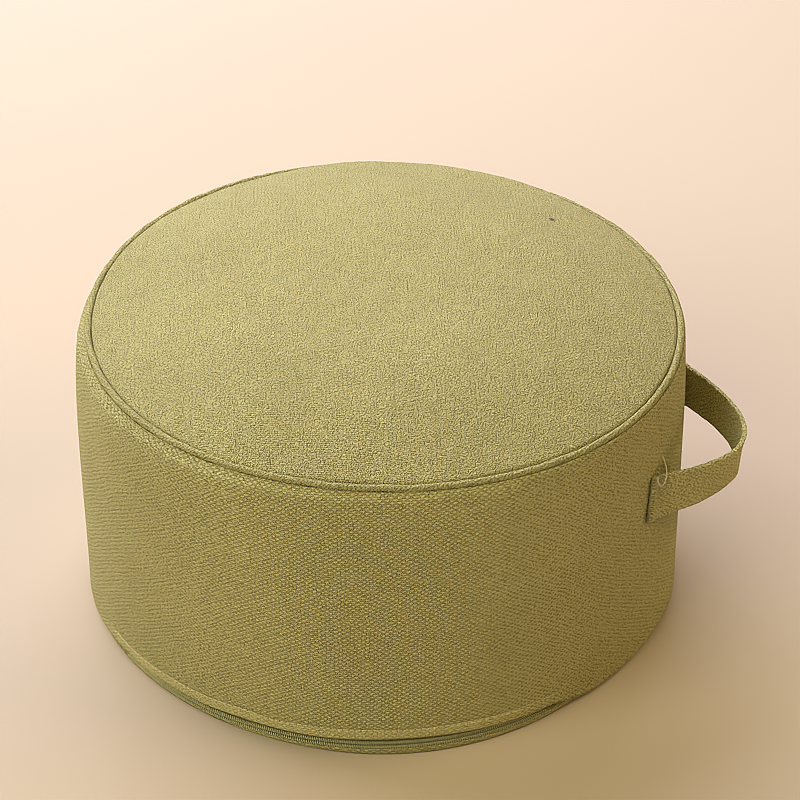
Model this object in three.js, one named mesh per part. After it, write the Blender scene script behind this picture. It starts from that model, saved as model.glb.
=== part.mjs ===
// Round floor pouf: a stuffed drum of plain-woven cloth with a corded seam
// round its crown, a zip in the foot seam and a carrying strap on its side.
// Millimetres, +Z up. The origin is the middle of the flat base, on the floor.
// +X points to the strap's side, -Y to the middle of the zip.
import * as THREE from 'three';
import { mergeVertices } from 'three/addons/utils/BufferGeometryUtils.js';

// ---------------------------------------------------------------- driving sizes
const SEAM_RADIUS = 190.8;     // middle of the cord in the crown seam
const SEAM_HEIGHT = 203.2;
const CORD_RADIUS = 2.2;       // cloth-covered cord
const CORD_GROOVE = 2.8;       // radius of the groove that the cord lies in
const CROWN_RISE = 34.5;       // top of the crown above the cord
const CROWN_POWER = 2.7;       // how late the crown falls away
const FOOT_RADIUS = 198.2;     // wall just above the foot seam
const FOOT_HEIGHT = 8.7;
const BELLY = 5.9;             // how far the wall swells past its two seams
const BELLY_SKEW = 0.68;       // 0 swells half way up, 1 at the crown seam
const BASE_FLAT = 190.5;       // radius of the flat that rests on the floor
const BASE_EDGE = 2.2;         // the base panel's edge stands in from the wall

const RING_STEPS = 96;         // facets round the drum
const STEP = (2 * Math.PI) / RING_STEPS;

const ZIP_FROM = -150;         // degrees round the foot, full depth of the slit
const ZIP_TO = -56.25;
const ZIP_FADE = 7.5;          // past its ends the slit closes over this angle
const ZIP_DEPTH = 4.2;         // slit between wall and base panel
const TAPE_THICK = 0.9;
const COIL_THICK = 1.9;
const COIL_ROW = 2.5;          // height of one row of the coil
const ZIP_GAP = 0.35;
const ZIP_STEPS = 32;

const STRAP_WIDTH = 33;
const STRAP_THICK = 3.0;       // two layers with their edges turned in
const STRAP_END_THICK = 4.4;   // ends folded under once more and sewn flat
const STRAP_END_LENGTH = 0.055; // share of the strap that the fold takes
const STRAP_STEPS = 48;
const STRAP_CLEAR = 0.4;       // strap to wall where it is sewn on

// slow waves round the drum: the filling is a little uneven
// foot, seam and rise in mm at cos and sin of the wave; belly too
const WAVES = [
  { wave: 1, footCos: -0.32, footSin: -0.14, seamCos: 0.98, seamSin: -0.19, riseCos: -0.70, riseSin: -1.35, bellyCos: -1.56, bellySin: -1.63 },
  { wave: 2, footCos: 0.11, footSin: 0.66, seamCos: 1.03, seamSin: -0.93, riseCos: 0.34, riseSin: 0.33, bellyCos: -0.13, bellySin: 2.21 },
  { wave: 3, footCos: -0.11, footSin: 0.58, seamCos: 0.45, seamSin: -1.19, riseCos: 0.71, riseSin: 0.29, bellyCos: 0, bellySin: 0 },
  { wave: 4, footCos: 1.30, footSin: -0.20, seamCos: -0.33, seamSin: -0.24, riseCos: 0, riseSin: 0, bellyCos: 0, bellySin: 0 },
  { wave: 5, footCos: 0.44, footSin: -0.48, seamCos: 0, seamSin: 0, riseCos: 0, riseSin: 0, bellyCos: 0, bellySin: 0 },
];

// the zip: height of the coil's middle and of the wall cloth's folded edge
const ZIP = [
  { azimuth: -164, coil: 4.6, lip: 3.2 },
  { azimuth: -156, coil: 4.6, lip: 5.8 },
  { azimuth: -148, coil: 4.6, lip: 8.6 },
  { azimuth: -140, coil: 4.6, lip: 9.0 },
  { azimuth: -130, coil: 4.6, lip: 9.7 },
  { azimuth: -124, coil: 4.6, lip: 10.4 },
  { azimuth: -120, coil: 4.6, lip: 11.7 },
  { azimuth: -114, coil: 5.2, lip: 12.4 },
  { azimuth: -110, coil: 5.5, lip: 12.5 },
  { azimuth: -104, coil: 6.1, lip: 12.8 },
  { azimuth: -99, coil: 6.7, lip: 13.4 },
  { azimuth: -93, coil: 7.1, lip: 14.2 },
  { azimuth: -86, coil: 7.6, lip: 14.9 },
  { azimuth: -80, coil: 7.5, lip: 14.6 },
  { azimuth: -74, coil: 7.1, lip: 13.6 },
  { azimuth: -70, coil: 6.9, lip: 12.8 },
  { azimuth: -66, coil: 6.8, lip: 12.0 },
  { azimuth: -62, coil: 6.8, lip: 11.4 },
  { azimuth: -58, coil: 6.9, lip: 11.0 },
  { azimuth: -54, coil: 6.6, lip: 10.4 },
  { azimuth: -46, coil: 4.6, lip: 3.2 },
];

// the strap's middle line; out is measured from the wall's cloth, lean in degrees
const STRAP = [
  { azimuth: -32.2, out: 0, height: 130.8, lean: 0 },
  { azimuth: -30.2, out: 0.2, height: 130.6, lean: 0 },
  { azimuth: -27, out: 8.2, height: 130.3, lean: 3 },
  { azimuth: -22, out: 21.6, height: 129.4, lean: 7.7 },
  { azimuth: -16, out: 34.2, height: 128.5, lean: 11 },
  { azimuth: -10, out: 36.8, height: 127.5, lean: 4.5 },
  { azimuth: -4, out: 30.6, height: 126.5, lean: -0.5 },
  { azimuth: 2, out: 20.2, height: 125.4, lean: -2.6 },
  { azimuth: 8, out: 8.6, height: 124.5, lean: -2 },
  { azimuth: 13, out: 1.2, height: 123.8, lean: 0 },
  { azimuth: 16, out: 0, height: 123.4, lean: 0 },
  { azimuth: 20.2, out: 0, height: 122.8, lean: 0 },
];

// ---------------------------------------------------------------- shared shape
const rad = THREE.MathUtils.degToRad;
const clamp = THREE.MathUtils.clamp;
const smooth = (t) => { const c = clamp(t, 0, 1); return c * c * (3 - 2 * c); };

function waves(name, azimuth) {
  return WAVES.reduce((sum, w) => sum
    + w[name + 'Cos'] * Math.cos(w.wave * azimuth)
    + w[name + 'Sin'] * Math.sin(w.wave * azimuth), 0);
}
const footRadius = (azimuth) => FOOT_RADIUS + waves('foot', azimuth);
const seamRadius = (azimuth) => SEAM_RADIUS + waves('seam', azimuth);
const seamHeight = (azimuth) => SEAM_HEIGHT + waves('rise', azimuth);

function wallRadius(azimuth, height) {
  const foot = footRadius(azimuth), seam = seamRadius(azimuth);
  const s = clamp((height - FOOT_HEIGHT) / (seamHeight(azimuth) - FOOT_HEIGHT), 0, 1);
  const swell = (t) => Math.pow(t, 1 + BELLY_SKEW) * Math.pow(1 - t, 1 - BELLY_SKEW);
  const share = Math.pow(swell(s) / swell((1 + BELLY_SKEW) / 2), 0.7);
  return foot + (seam - foot) * s + (BELLY + waves('belly', azimuth)) * share;
}

// a value of a table's column, eased between its rows
function column(table, key, name, at) {
  let i = 0;
  while (i < table.length - 2 && at > table[i + 1][key]) i += 1;
  const slope = (k) => {
    const a = table[Math.max(k - 1, 0)], b = table[Math.min(k + 1, table.length - 1)];
    return (b[name] - a[name]) / (b[key] - a[key]);
  };
  const p = table[i], q = table[i + 1], span = q[key] - p[key];
  const t = clamp((at - p[key]) / span, 0, 1), t2 = t * t, t3 = t2 * t;
  return (2 * t3 - 3 * t2 + 1) * p[name] + (t3 - 2 * t2 + t) * span * slope(i)
    + (3 * t2 - 2 * t3) * q[name] + (t3 - t2) * span * slope(i + 1);
}
const degrees = (azimuth) => THREE.MathUtils.radToDeg(azimuth);
const zipOpen = (azimuth) => {
  const a = degrees(azimuth);
  return Math.min(smooth((a - ZIP_FROM + ZIP_FADE) / ZIP_FADE), smooth((ZIP_TO + ZIP_FADE - a) / ZIP_FADE));
};

// shared corners welded, folded-up facets at the axis dropped, faces out
function solid(geometry) {
  geometry.deleteAttribute('normal');
  geometry.deleteAttribute('uv');
  const welded = mergeVertices(geometry, 1e-4);
  const index = welded.index.array, kept = [];
  for (let i = 0; i < index.length; i += 3) {
    const [a, b, c] = [index[i], index[i + 1], index[i + 2]];
    if (a !== b && b !== c && a !== c) kept.push(a, b, c);
  }
  const p = welded.attributes.position;
  const A = new THREE.Vector3(), B = new THREE.Vector3(), C = new THREE.Vector3();
  let volume = 0;
  for (let i = 0; i < kept.length; i += 3) {
    A.fromBufferAttribute(p, kept[i]); B.fromBufferAttribute(p, kept[i + 1]); C.fromBufferAttribute(p, kept[i + 2]);
    volume += A.dot(B.cross(C));
  }
  if (volume < 0) for (let i = 0; i < kept.length; i += 3) [kept[i + 1], kept[i + 2]] = [kept[i + 2], kept[i + 1]];
  welded.setIndex(kept);
  welded.computeVertexNormals();
  return welded;
}

function cloth(name, geometry, color, roughness) {
  const mesh = new THREE.Mesh(geometry, new THREE.MeshStandardMaterial({ color, roughness, metalness: 0 }));
  mesh.name = name;
  return mesh;
}

// ---------------------------------------------------------------- cushion body
// one section from the middle of the base, up the wall, round the cord's groove
// and over the crown; each row gives its radius and height at an azimuth
const WALL_ROWS = 9, CROWN_ROWS = 7;
const section = [];
section.push(() => [0, 0]);
section.push(() => [100, 0]);
section.push(() => [BASE_FLAT - 8, 0]);
section.push(() => [BASE_FLAT, 0]);
section.push((a) => [footRadius(a) - BASE_EDGE - 0.9, 0.4]);
section.push((a) => [footRadius(a) - BASE_EDGE, column(ZIP, 'azimuth', 'coil', zipAzimuth(a)) - 3.9]);
section.push((a) => [footRadius(a) - BASE_EDGE - ZIP_DEPTH * zipOpen(a), column(ZIP, 'azimuth', 'coil', zipAzimuth(a)) - 3.5]);
section.push((a) => [footRadius(a) - BASE_EDGE + 0.6 - (ZIP_DEPTH + 0.6) * zipOpen(a), column(ZIP, 'azimuth', 'lip', zipAzimuth(a)) - 0.6]);
section.push((a) => [wallRadius(a, FOOT_HEIGHT + 1) - 0.8, column(ZIP, 'azimuth', 'lip', zipAzimuth(a))]);
for (let i = 0; i < WALL_ROWS; i += 1) {
  const t = i / (WALL_ROWS - 1);
  section.push((a) => {
    const low = column(ZIP, 'azimuth', 'lip', zipAzimuth(a)) + 1.8;
    const high = seamHeight(a) - 5.2;
    const z = low + (high - low) * (1 - Math.pow(1 - t, 1.25));
    return [wallRadius(a, z), z];
  });
}
section.push((a) => [seamRadius(a) + 3.1, seamHeight(a) - 2.9]);
for (const turn of [-45, -90, -135, 180]) {
  section.push((a) => [seamRadius(a) + CORD_GROOVE * Math.cos(rad(turn)), seamHeight(a) + CORD_GROOVE * Math.sin(rad(turn))]);
}
const crownStart = CORD_GROOVE + 0.8;
for (let i = 0; i <= CROWN_ROWS; i += 1) {
  const inset = i === 0 ? 0 : Math.pow(i / CROWN_ROWS, 1.6);   // rows crowd at the seam
  section.push((a) => {
    const edge = seamRadius(a) - crownStart, r = edge * (1 - inset), fade = 1 - r / edge;
    const lift = 1 - Math.pow(r / edge, CROWN_POWER);
    const shoulder = 2.6 * (1 - Math.pow(fade, 1.4));
    // the seam's own unevenness dies away towards the middle of the crown
    const level = SEAM_HEIGHT + (seamHeight(a) - SEAM_HEIGHT) * (1 - smooth(fade * 1.6));
    return [r, level + (CROWN_RISE - 2.6) * lift + (i === CROWN_ROWS ? 2.6 : shoulder + 2.6 * Math.pow(fade, 1.4))];
  });
}
// past the slit the wall's cloth turns under at the floor, as in the table's end rows
function zipAzimuth(azimuth) {
  const a = degrees(azimuth);
  if (a > ZIP[ZIP.length - 1].azimuth && a < 90) return ZIP[ZIP.length - 1].azimuth;
  if (a >= 90 || a < ZIP[0].azimuth) return ZIP[0].azimuth;
  return a;
}

function drum() {
  const outline = section.map((row, i) => new THREE.Vector2(row(0)[0], i));
  const lathe = new THREE.LatheGeometry(outline, RING_STEPS);
  const p = lathe.attributes.position;
  for (let i = 0; i < p.count; i += 1) {
    const row = Math.round(p.getY(i));
    const turn = Math.floor(i / section.length) % RING_STEPS;
    const azimuth = turn * STEP > Math.PI ? turn * STEP - 2 * Math.PI : turn * STEP;
    const [r, z] = section[row](azimuth);
    p.setXYZ(i, r * Math.cos(azimuth), r * Math.sin(azimuth), z);
  }
  return solid(lathe);
}

// ---------------------------------------------------------------- cord in the seam
function cord() {
  const sides = 6;
  const torus = new THREE.TorusGeometry(SEAM_RADIUS, CORD_RADIUS, sides, RING_STEPS);
  const p = torus.attributes.position;
  for (let i = 0; i < p.count; i += 1) {
    const side = Math.floor(i / (RING_STEPS + 1)) % sides;
    const turn = (i % (RING_STEPS + 1)) % RING_STEPS;
    const azimuth = turn * STEP > Math.PI ? turn * STEP - 2 * Math.PI : turn * STEP;
    const round = (side * 2 * Math.PI) / sides;
    const r = seamRadius(azimuth) + CORD_RADIUS * Math.cos(round);
    p.setXYZ(i, r * Math.cos(azimuth), r * Math.sin(azimuth), seamHeight(azimuth) + CORD_RADIUS * Math.sin(round));
  }
  return solid(torus);
}

// ---------------------------------------------------------------- zip
// a straight bar of unit section bent along the foot seam: inner and outer give
// its depth behind the wall, low and high its height
function alongSeam(inner, outer, low, high) {
  const bar = new THREE.BoxGeometry(1, 1, 1, ZIP_STEPS, 1, 1);
  const p = bar.attributes.position;
  for (let i = 0; i < p.count; i += 1) {
    const azimuth = rad(ZIP_FROM + 0.6 + (ZIP_TO - ZIP_FROM - 1.2) * (p.getX(i) + 0.5));
    const r = footRadius(azimuth) - BASE_EDGE - (p.getY(i) < 0 ? inner : outer);
    const z = p.getZ(i) < 0 ? low(azimuth) : high(azimuth);
    p.setXYZ(i, r * Math.cos(azimuth), r * Math.sin(azimuth), z);
  }
  return solid(bar);
}
const coil = (a) => column(ZIP, 'azimuth', 'coil', zipAzimuth(a));
const lip = (a) => column(ZIP, 'azimuth', 'lip', zipAzimuth(a));
const tapeInner = ZIP_DEPTH - ZIP_GAP - 0.1, tapeOuter = tapeInner - TAPE_THICK;
const coilInner = tapeOuter - ZIP_GAP, coilOuter = coilInner - COIL_THICK;
const half = ZIP_GAP / 2;

// ---------------------------------------------------------------- strap
function strap() {
  const ribbon = new THREE.BoxGeometry(1, 1, 1, STRAP_STEPS, 1, 2);
  const p = ribbon.attributes.position;
  const first = STRAP[0].azimuth, last = STRAP[STRAP.length - 1].azimuth;
  const line = (s) => {
    const azimuth = first + (last - first) * s, a = rad(azimuth);
    const z = column(STRAP, 'azimuth', 'height', azimuth);
    const ends = Math.max(1 - s / STRAP_END_LENGTH, 1 - (1 - s) / STRAP_END_LENGTH, 0);
    const thick = STRAP_THICK + (STRAP_END_THICK - STRAP_THICK) * smooth(ends * 2);
    const out = Math.max(column(STRAP, 'azimuth', 'out', azimuth), 0);
    const r = wallRadius(a, z) + STRAP_CLEAR + out + thick / 2;
    return { point: new THREE.Vector3(r * Math.cos(a), r * Math.sin(a), z), thick, lean: rad(column(STRAP, 'azimuth', 'lean', azimuth)) };
  };
  for (let i = 0; i < p.count; i += 1) {
    const s = p.getX(i) + 0.5, here = line(s);
    const along = line(Math.min(s + 0.004, 1)).point.sub(line(Math.max(s - 0.004, 0)).point).normalize();
    const out = new THREE.Vector3().crossVectors(along, new THREE.Vector3(0, 0, 1)).normalize();
    const up = new THREE.Vector3().crossVectors(out, along).normalize();
    const across = up.clone().multiplyScalar(Math.cos(here.lean)).addScaledVector(out, Math.sin(here.lean));
    const face = out.clone().multiplyScalar(Math.cos(here.lean)).addScaledVector(up, -Math.sin(here.lean));
    const v = here.point.addScaledVector(across, STRAP_WIDTH * p.getZ(i)).addScaledVector(face, here.thick * p.getY(i));
    // a sewn end follows the wall's swell across its width
    const a = Math.atan2(v.y, v.x), r = Math.hypot(v.x, v.y);
    const least = wallRadius(a, v.z) + STRAP_CLEAR + (p.getY(i) > 0 ? here.thick : 0);
    if (r < least) { v.x *= least / r; v.y *= least / r; }
    p.setXYZ(i, v.x, v.y, v.z);
  }
  return solid(ribbon);
}

// ---------------------------------------------------------------- the pouf
const group = new THREE.Group();
const CLOTH = 0xa9a167, CORD = 0xb3ab70, TAPE = 0x5f6b34, COIL = 0x8d9464;
group.add(cloth('cushion_body', drum(), CLOTH, 0.92));
group.add(cloth('crown_piping', cord(), CORD, 0.9));

const zip = new THREE.Group();
zip.add(cloth('zip_tape_upper', alongSeam(tapeInner, tapeOuter, (a) => coil(a) + half, (a) => lip(a) - 1.4), TAPE, 0.85));
zip.add(cloth('zip_tape_lower', alongSeam(tapeInner, tapeOuter, (a) => coil(a) - 3.1, (a) => coil(a) - half), TAPE, 0.85));
zip.add(cloth('zip_coil_upper', alongSeam(coilInner, coilOuter, (a) => coil(a) + half, (a) => coil(a) + half + COIL_ROW), COIL, 0.6));
zip.add(cloth('zip_coil_lower', alongSeam(coilInner, coilOuter, (a) => coil(a) - half - COIL_ROW, (a) => coil(a) - half), COIL, 0.6));
group.add(zip);

group.add(cloth('handle_strap', strap(), CLOTH, 0.92));

export default group;
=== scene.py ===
"""Round floor pouf: the looks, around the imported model.

A stuffed drum of coarse plain-woven cloth with a corded crown seam, a zip in
its foot seam and a carrying strap. Lengths are millimetres until a mesh is
made, in the model's own frame: +Z up, origin in the middle of the base.
"""
import math

import bpy  # noqa: E402
import numpy as np  # noqa: E402
from mathutils import Matrix  # noqa: E402


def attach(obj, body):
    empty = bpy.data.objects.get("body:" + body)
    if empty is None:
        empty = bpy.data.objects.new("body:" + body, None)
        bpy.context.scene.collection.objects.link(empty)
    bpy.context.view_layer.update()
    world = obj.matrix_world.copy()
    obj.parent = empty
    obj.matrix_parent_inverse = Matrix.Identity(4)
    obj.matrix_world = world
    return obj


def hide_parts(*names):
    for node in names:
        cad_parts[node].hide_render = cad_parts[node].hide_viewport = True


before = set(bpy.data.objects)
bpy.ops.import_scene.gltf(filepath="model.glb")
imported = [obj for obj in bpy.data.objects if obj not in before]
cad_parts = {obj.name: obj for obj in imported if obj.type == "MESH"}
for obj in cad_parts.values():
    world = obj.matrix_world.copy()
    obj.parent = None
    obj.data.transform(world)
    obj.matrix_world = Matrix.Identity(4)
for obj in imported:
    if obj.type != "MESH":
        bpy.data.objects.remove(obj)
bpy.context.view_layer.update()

# ------------------------------------------------------------------ sizes
SEAM_RADIUS, SEAM_HEIGHT = 190.8, 203.2
CORD_RADIUS = 2.3
CROWN_RISE, CROWN_POWER = 34.5, 2.7
FOOT_RADIUS, FOOT_HEIGHT = 198.2, 8.7
BELLY, BELLY_SKEW = 5.9, 0.68
BASE_FLAT, BASE_EDGE = 183.5, 2.2
ZIP_FROM, ZIP_TO, ZIP_FADE, ZIP_DEPTH = -150.0, -56.25, 7.5, 4.2
ZIP_END_FADE = 4.6
STRAP_WIDTH, STRAP_THICK, STRAP_END_THICK = 33.0, 3.0, 4.4
STRAP_END_LENGTH, STRAP_CLEAR = 0.055, 0.15
WARP, WEFT = 2.46, 1.60          # cloth: pitch of the paired warps and of the wefts

# wave, foot cos, foot sin, seam cos, seam sin, rise cos, rise sin, belly cos, belly sin
WAVES = [
    (1, -0.32, -0.14, 0.98, -0.19, -0.70, -1.35, -1.56, -1.63),
    (2, 0.11, 0.66, 1.03, -0.93, 0.34, 0.33, -0.13, 2.21),
    (3, -0.11, 0.58, 0.45, -1.19, 0.71, 0.29, 0.0, 0.0),
    (4, 1.30, -0.20, -0.33, -0.24, 0.0, 0.0, 0.0, 0.0),
    (5, 0.44, -0.48, 0.0, 0.0, 0.0, 0.0, 0.0, 0.0),
]
AT_FOOT, AT_SEAM, AT_RISE, AT_BELLY = 1, 3, 5, 7

# azimuth, height of the coil's middle, height of the hem's fold
ZIP = np.array([
    (-164, 3.9, 3.2), (-156, 3.9, 5.8), (-148, 3.9, 8.6), (-140, 3.9, 9.0), (-130, 3.9, 9.7),
    (-124, 4.0, 10.4), (-120, 4.6, 11.7), (-114, 5.6, 12.4), (-110, 6.0, 12.5), (-104, 6.6, 12.8),
    (-99, 7.2, 13.4), (-93, 7.6, 14.2), (-86, 8.1, 14.9), (-80, 8.0, 14.6), (-74, 7.6, 13.6),
    (-70, 7.4, 12.8), (-66, 7.35, 12.0), (-62, 7.45, 11.4), (-58, 7.65, 11.0), (-54, 7.6, 10.4),
    (-46, 3.9, 3.2),
])
# azimuth, height of the topstitch, how far the base panel's edge hangs clear of the floor
FOOT = np.array([
    (-180, 15.5, 1.0), (-150, 15.9, 1.5), (-144, 16.1, 1.5), (-138, 16.5, 1.25), (-132, 17.2, 0.7),
    (-127, 18.0, 0.5), (-122, 19.2, 0.45), (-119, 20.3, 0.5), (-116, 20.9, 0.6), (-113, 20.2, 0.7),
    (-110, 19.8, 0.8), (-106, 20.5, 1.0), (-102, 21.7, 1.0), (-98, 21.5, 0.8), (-92, 22.4, 0.65),
    (-87, 22.1, 0.6), (-80, 22.0, 0.6), (-72, 21.1, 0.6), (-66, 20.2, 0.7), (-60, 19.5, 1.05),
    (-56, 19.1, 1.7), (-52, 18.7, 2.6), (-48, 18.4, 2.6), (-43, 18.0, 1.9), (-36, 17.0, 1.2), (180, 15.5, 1.0),
])
# azimuth, out from the wall, height, lean
STRAP = np.array([
    (-32.2, 0, 130.8, 0), (-30.2, 0.2, 130.6, 0), (-27, 8.2, 130.3, 3),
    (-22, 21.6, 129.4, 7.7), (-16, 34.2, 128.5, 11), (-10, 36.8, 127.5, 4.5),
    (-4, 30.6, 126.5, -0.5), (2, 20.2, 125.4, -2.6), (8, 8.6, 124.5, -2),
    (13, 1.2, 123.8, 0), (16, 0, 123.4, 0), (20.2, 0, 122.8, 0),
])


END_SLANT, END_BACK = 2.2, 4.0   # the strap's sewn end isn't quite square, and its fold is pressed back
LOOSE_THREAD = [
    (178.3, -88.9, 154.9), (179.3, -91.5, 153.0), (180.1, -94.8, 151.3), (180.5, -98.2, 149.8), (180.0, -101.7, 146.6),
    (178.9, -102.1, 143.0), (177.4, -102.5, 140.8), (175.6, -104.1, 143.5), (173.9, -107.3, 149.8), (174.2, -106.7, 151.4),
]
SHARPEN = 0.4


# ------------------------------------------------------------------ shape
def smooth(t):
    t = np.clip(t, 0, 1)
    return t * t * (3 - 2 * t)


def waves(first, az):
    return sum(w[first] * np.cos(w[0] * az) + w[first + 1] * np.sin(w[0] * az) for w in WAVES)


def foot_radius(az):
    return FOOT_RADIUS + waves(AT_FOOT, az)


def seam_radius(az):
    return SEAM_RADIUS + waves(AT_SEAM, az)


def seam_height(az):
    return SEAM_HEIGHT + waves(AT_RISE, az)


def wall_radius(az, z):
    foot, seam = foot_radius(az), seam_radius(az)
    s = np.clip((z - FOOT_HEIGHT) / (seam_height(az) - FOOT_HEIGHT), 0, 1)

    def swell(t):
        return t ** (1 + BELLY_SKEW) * (1 - t) ** (1 - BELLY_SKEW)

    share = (swell(s) / swell((1 + BELLY_SKEW) / 2)) ** 0.7
    return foot + (seam - foot) * s + (BELLY + waves(AT_BELLY, az)) * share


def column(table, k, at):
    """The k-th column of a table, eased between its rows, at values of its first column."""
    x, y = table[:, 0], table[:, k]
    at = np.asarray(at, float)
    slope = np.empty(len(x))
    slope[1:-1] = (y[2:] - y[:-2]) / (x[2:] - x[:-2])
    slope[0], slope[-1] = (y[1] - y[0]) / (x[1] - x[0]), (y[-1] - y[-2]) / (x[-1] - x[-2])
    i = np.clip(np.searchsorted(x, at, side="left") - 1, 0, len(x) - 2)
    span = x[i + 1] - x[i]
    t = np.clip((at - x[i]) / span, 0, 1)
    return ((2 * t**3 - 3 * t**2 + 1) * y[i] + (t**3 - 2 * t**2 + t) * span * slope[i]
            + (3 * t**2 - 2 * t**3) * y[i + 1] + (t**3 - t**2) * span * slope[i + 1])


def near_zip(az):
    """Azimuth in degrees, held to the zip table's ends past it."""
    a = np.degrees(az)
    a = np.where(a > 180, a - 360, a)
    a = np.where((a >= 90) | (a < ZIP[0, 0]), ZIP[0, 0], a)
    return np.minimum(a, ZIP[-1, 0])


def coil_height(az):
    return column(ZIP, 1, near_zip(az))


def lip_height(az):
    return column(ZIP, 2, near_zip(az))


def turned(az):
    """Azimuth in degrees from -180 to 180."""
    a = np.degrees(az)
    return np.where(a > 180, a - 360, a)


def stitch_height(az):
    return column(FOOT, 1, turned(az))


def clearance(az):
    return column(FOOT, 2, turned(az))


def zip_open(az):
    a = turned(az)
    return np.minimum(smooth((a - ZIP_FROM + ZIP_FADE) / ZIP_FADE),
                      smooth((ZIP_TO - 0.6 + ZIP_END_FADE - a) / ZIP_END_FADE))


def round_noise(seed, az, low, high, falloff=1.0):
    """A smooth random line round the drum, about -1 to 1, with waves numbered low to high."""
    r = np.random.default_rng(seed)
    out, power = np.zeros_like(az), 0.0
    for k in range(low, high + 1):
        a = (low / k) ** falloff * r.uniform(0.4, 1.0)
        out = out + a * np.cos(k * az + r.uniform(0, 2 * math.pi))
        power += a * a / 2
    return out / math.sqrt(power) / 1.6


def plane_noise(seed, x, y, shortest, longest, count=26):
    """Smooth random dents over a plane, about -1 to 1."""
    r = np.random.default_rng(seed)
    out = np.zeros_like(x)
    for _ in range(count):
        length = math.exp(r.uniform(math.log(shortest), math.log(longest)))
        turn = r.uniform(0, 2 * math.pi)
        k = 2 * math.pi / length
        out = out + np.cos(k * (x * math.cos(turn) + y * math.sin(turn)) + r.uniform(0, 2 * math.pi))
    return out / math.sqrt(count / 2) / 1.6


# ------------------------------------------------------------------ meshes
def make_object(name, points, faces, uvs=None, slots=None, materials=(), smooth_faces=True):
    """A mesh from points in mm, faces as index lists, and a uv for each face corner."""
    mesh = bpy.data.meshes.new(name)
    mesh.from_pydata((np.asarray(points) * 0.001).tolist(), [], faces)
    for m in materials:
        mesh.materials.append(m)
    if slots is not None:
        mesh.polygons.foreach_set("material_index", np.asarray(slots, np.int32))
    if uvs is not None:
        layer = mesh.uv_layers.new(name="weave")
        layer.data.foreach_set("uv", np.asarray(uvs, np.float32).ravel())
    mesh.polygons.foreach_set("use_smooth", np.full(len(mesh.polygons), smooth_faces))
    mesh.update()
    mesh.validate(verbose=False)
    obj = bpy.data.objects.new(name, mesh)
    bpy.context.scene.collection.objects.link(obj)
    return obj


def tube(path, sides, radius, closed=False, up=None, uv_scale=1.0, squash=1.0):
    """Points, faces and uvs of a tube along a path, with ends closed over."""
    path = np.asarray(path, float)
    n = len(path)
    ahead = np.roll(path, -1, 0) - np.roll(path, 1, 0) if closed else np.gradient(path, axis=0)
    ahead /= np.linalg.norm(ahead, axis=1)[:, None]
    up = np.array([0.0, 0.0, 1.0]) if up is None else np.asarray(up, float)
    side = np.cross(ahead, up)
    side /= np.linalg.norm(side, axis=1)[:, None]
    top = np.cross(side, ahead)
    radius = np.broadcast_to(np.asarray(radius, float), (n,))
    turn = np.arange(sides) * 2 * math.pi / sides
    ring = (path[:, None] + (radius[:, None, None] * np.cos(turn)[None, :, None]) * side[:, None]
            + (radius[:, None, None] * squash * np.sin(turn)[None, :, None]) * top[:, None])
    points = ring.reshape(-1, 3)
    faces, uvs = [], []
    along = np.concatenate([[0], np.cumsum(np.linalg.norm(np.diff(path, axis=0), axis=1))])
    for i in range(n if closed else n - 1):
        j = (i + 1) % n
        for k in range(sides):
            m = (k + 1) % sides
            faces.append((i * sides + k, i * sides + m, j * sides + m, j * sides + k))
            a = along[i] * uv_scale
            b = (along[i + 1] if i + 1 < n else along[i] * 2 - along[i - 1]) * uv_scale
            uvs += [(a, k / sides), (a, (k + 1) / sides), (b, (k + 1) / sides), (b, k / sides)]
    if not closed:
        for i, last in ((0, False), (n - 1, True)):
            c = len(points)
            tip = path[i] + ahead[i] * radius[i] * (0.35 if last else -0.35)
            points = np.vstack([points, tip])
            for k in range(sides):
                m = (k + 1) % sides
                a, b = i * sides + k, i * sides + m
                faces.append((a, b, c) if last else (b, a, c))
                uvs += [(0, 0), (0, 1), (0.5, 0.5)]
    return points, faces, uvs


def joined(parts):
    """Several (points, faces, uvs) as one."""
    points, faces, uvs, base = [], [], [], 0
    for p, f, u in parts:
        points.append(p)
        faces += [tuple(i + base for i in face) for face in f]
        uvs += list(u)
        base += len(p)
    return np.vstack(points), faces, uvs


# ------------------------------------------------------------------ materials
class Number:
    """A number in a material's node graph; arithmetic makes Math nodes."""

    def __init__(self, graph, socket):
        self.graph, self.socket = graph, socket

    def __add__(self, o):
        return self.graph.fn("ADD", self, o)

    __radd__ = __add__

    def __sub__(self, o):
        return self.graph.fn("SUBTRACT", self, o)

    def __rsub__(self, o):
        return self.graph.fn("SUBTRACT", o, self)

    def __mul__(self, o):
        return self.graph.fn("MULTIPLY", self, o)

    __rmul__ = __mul__

    def __truediv__(self, o):
        return self.graph.fn("DIVIDE", self, o)


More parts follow.
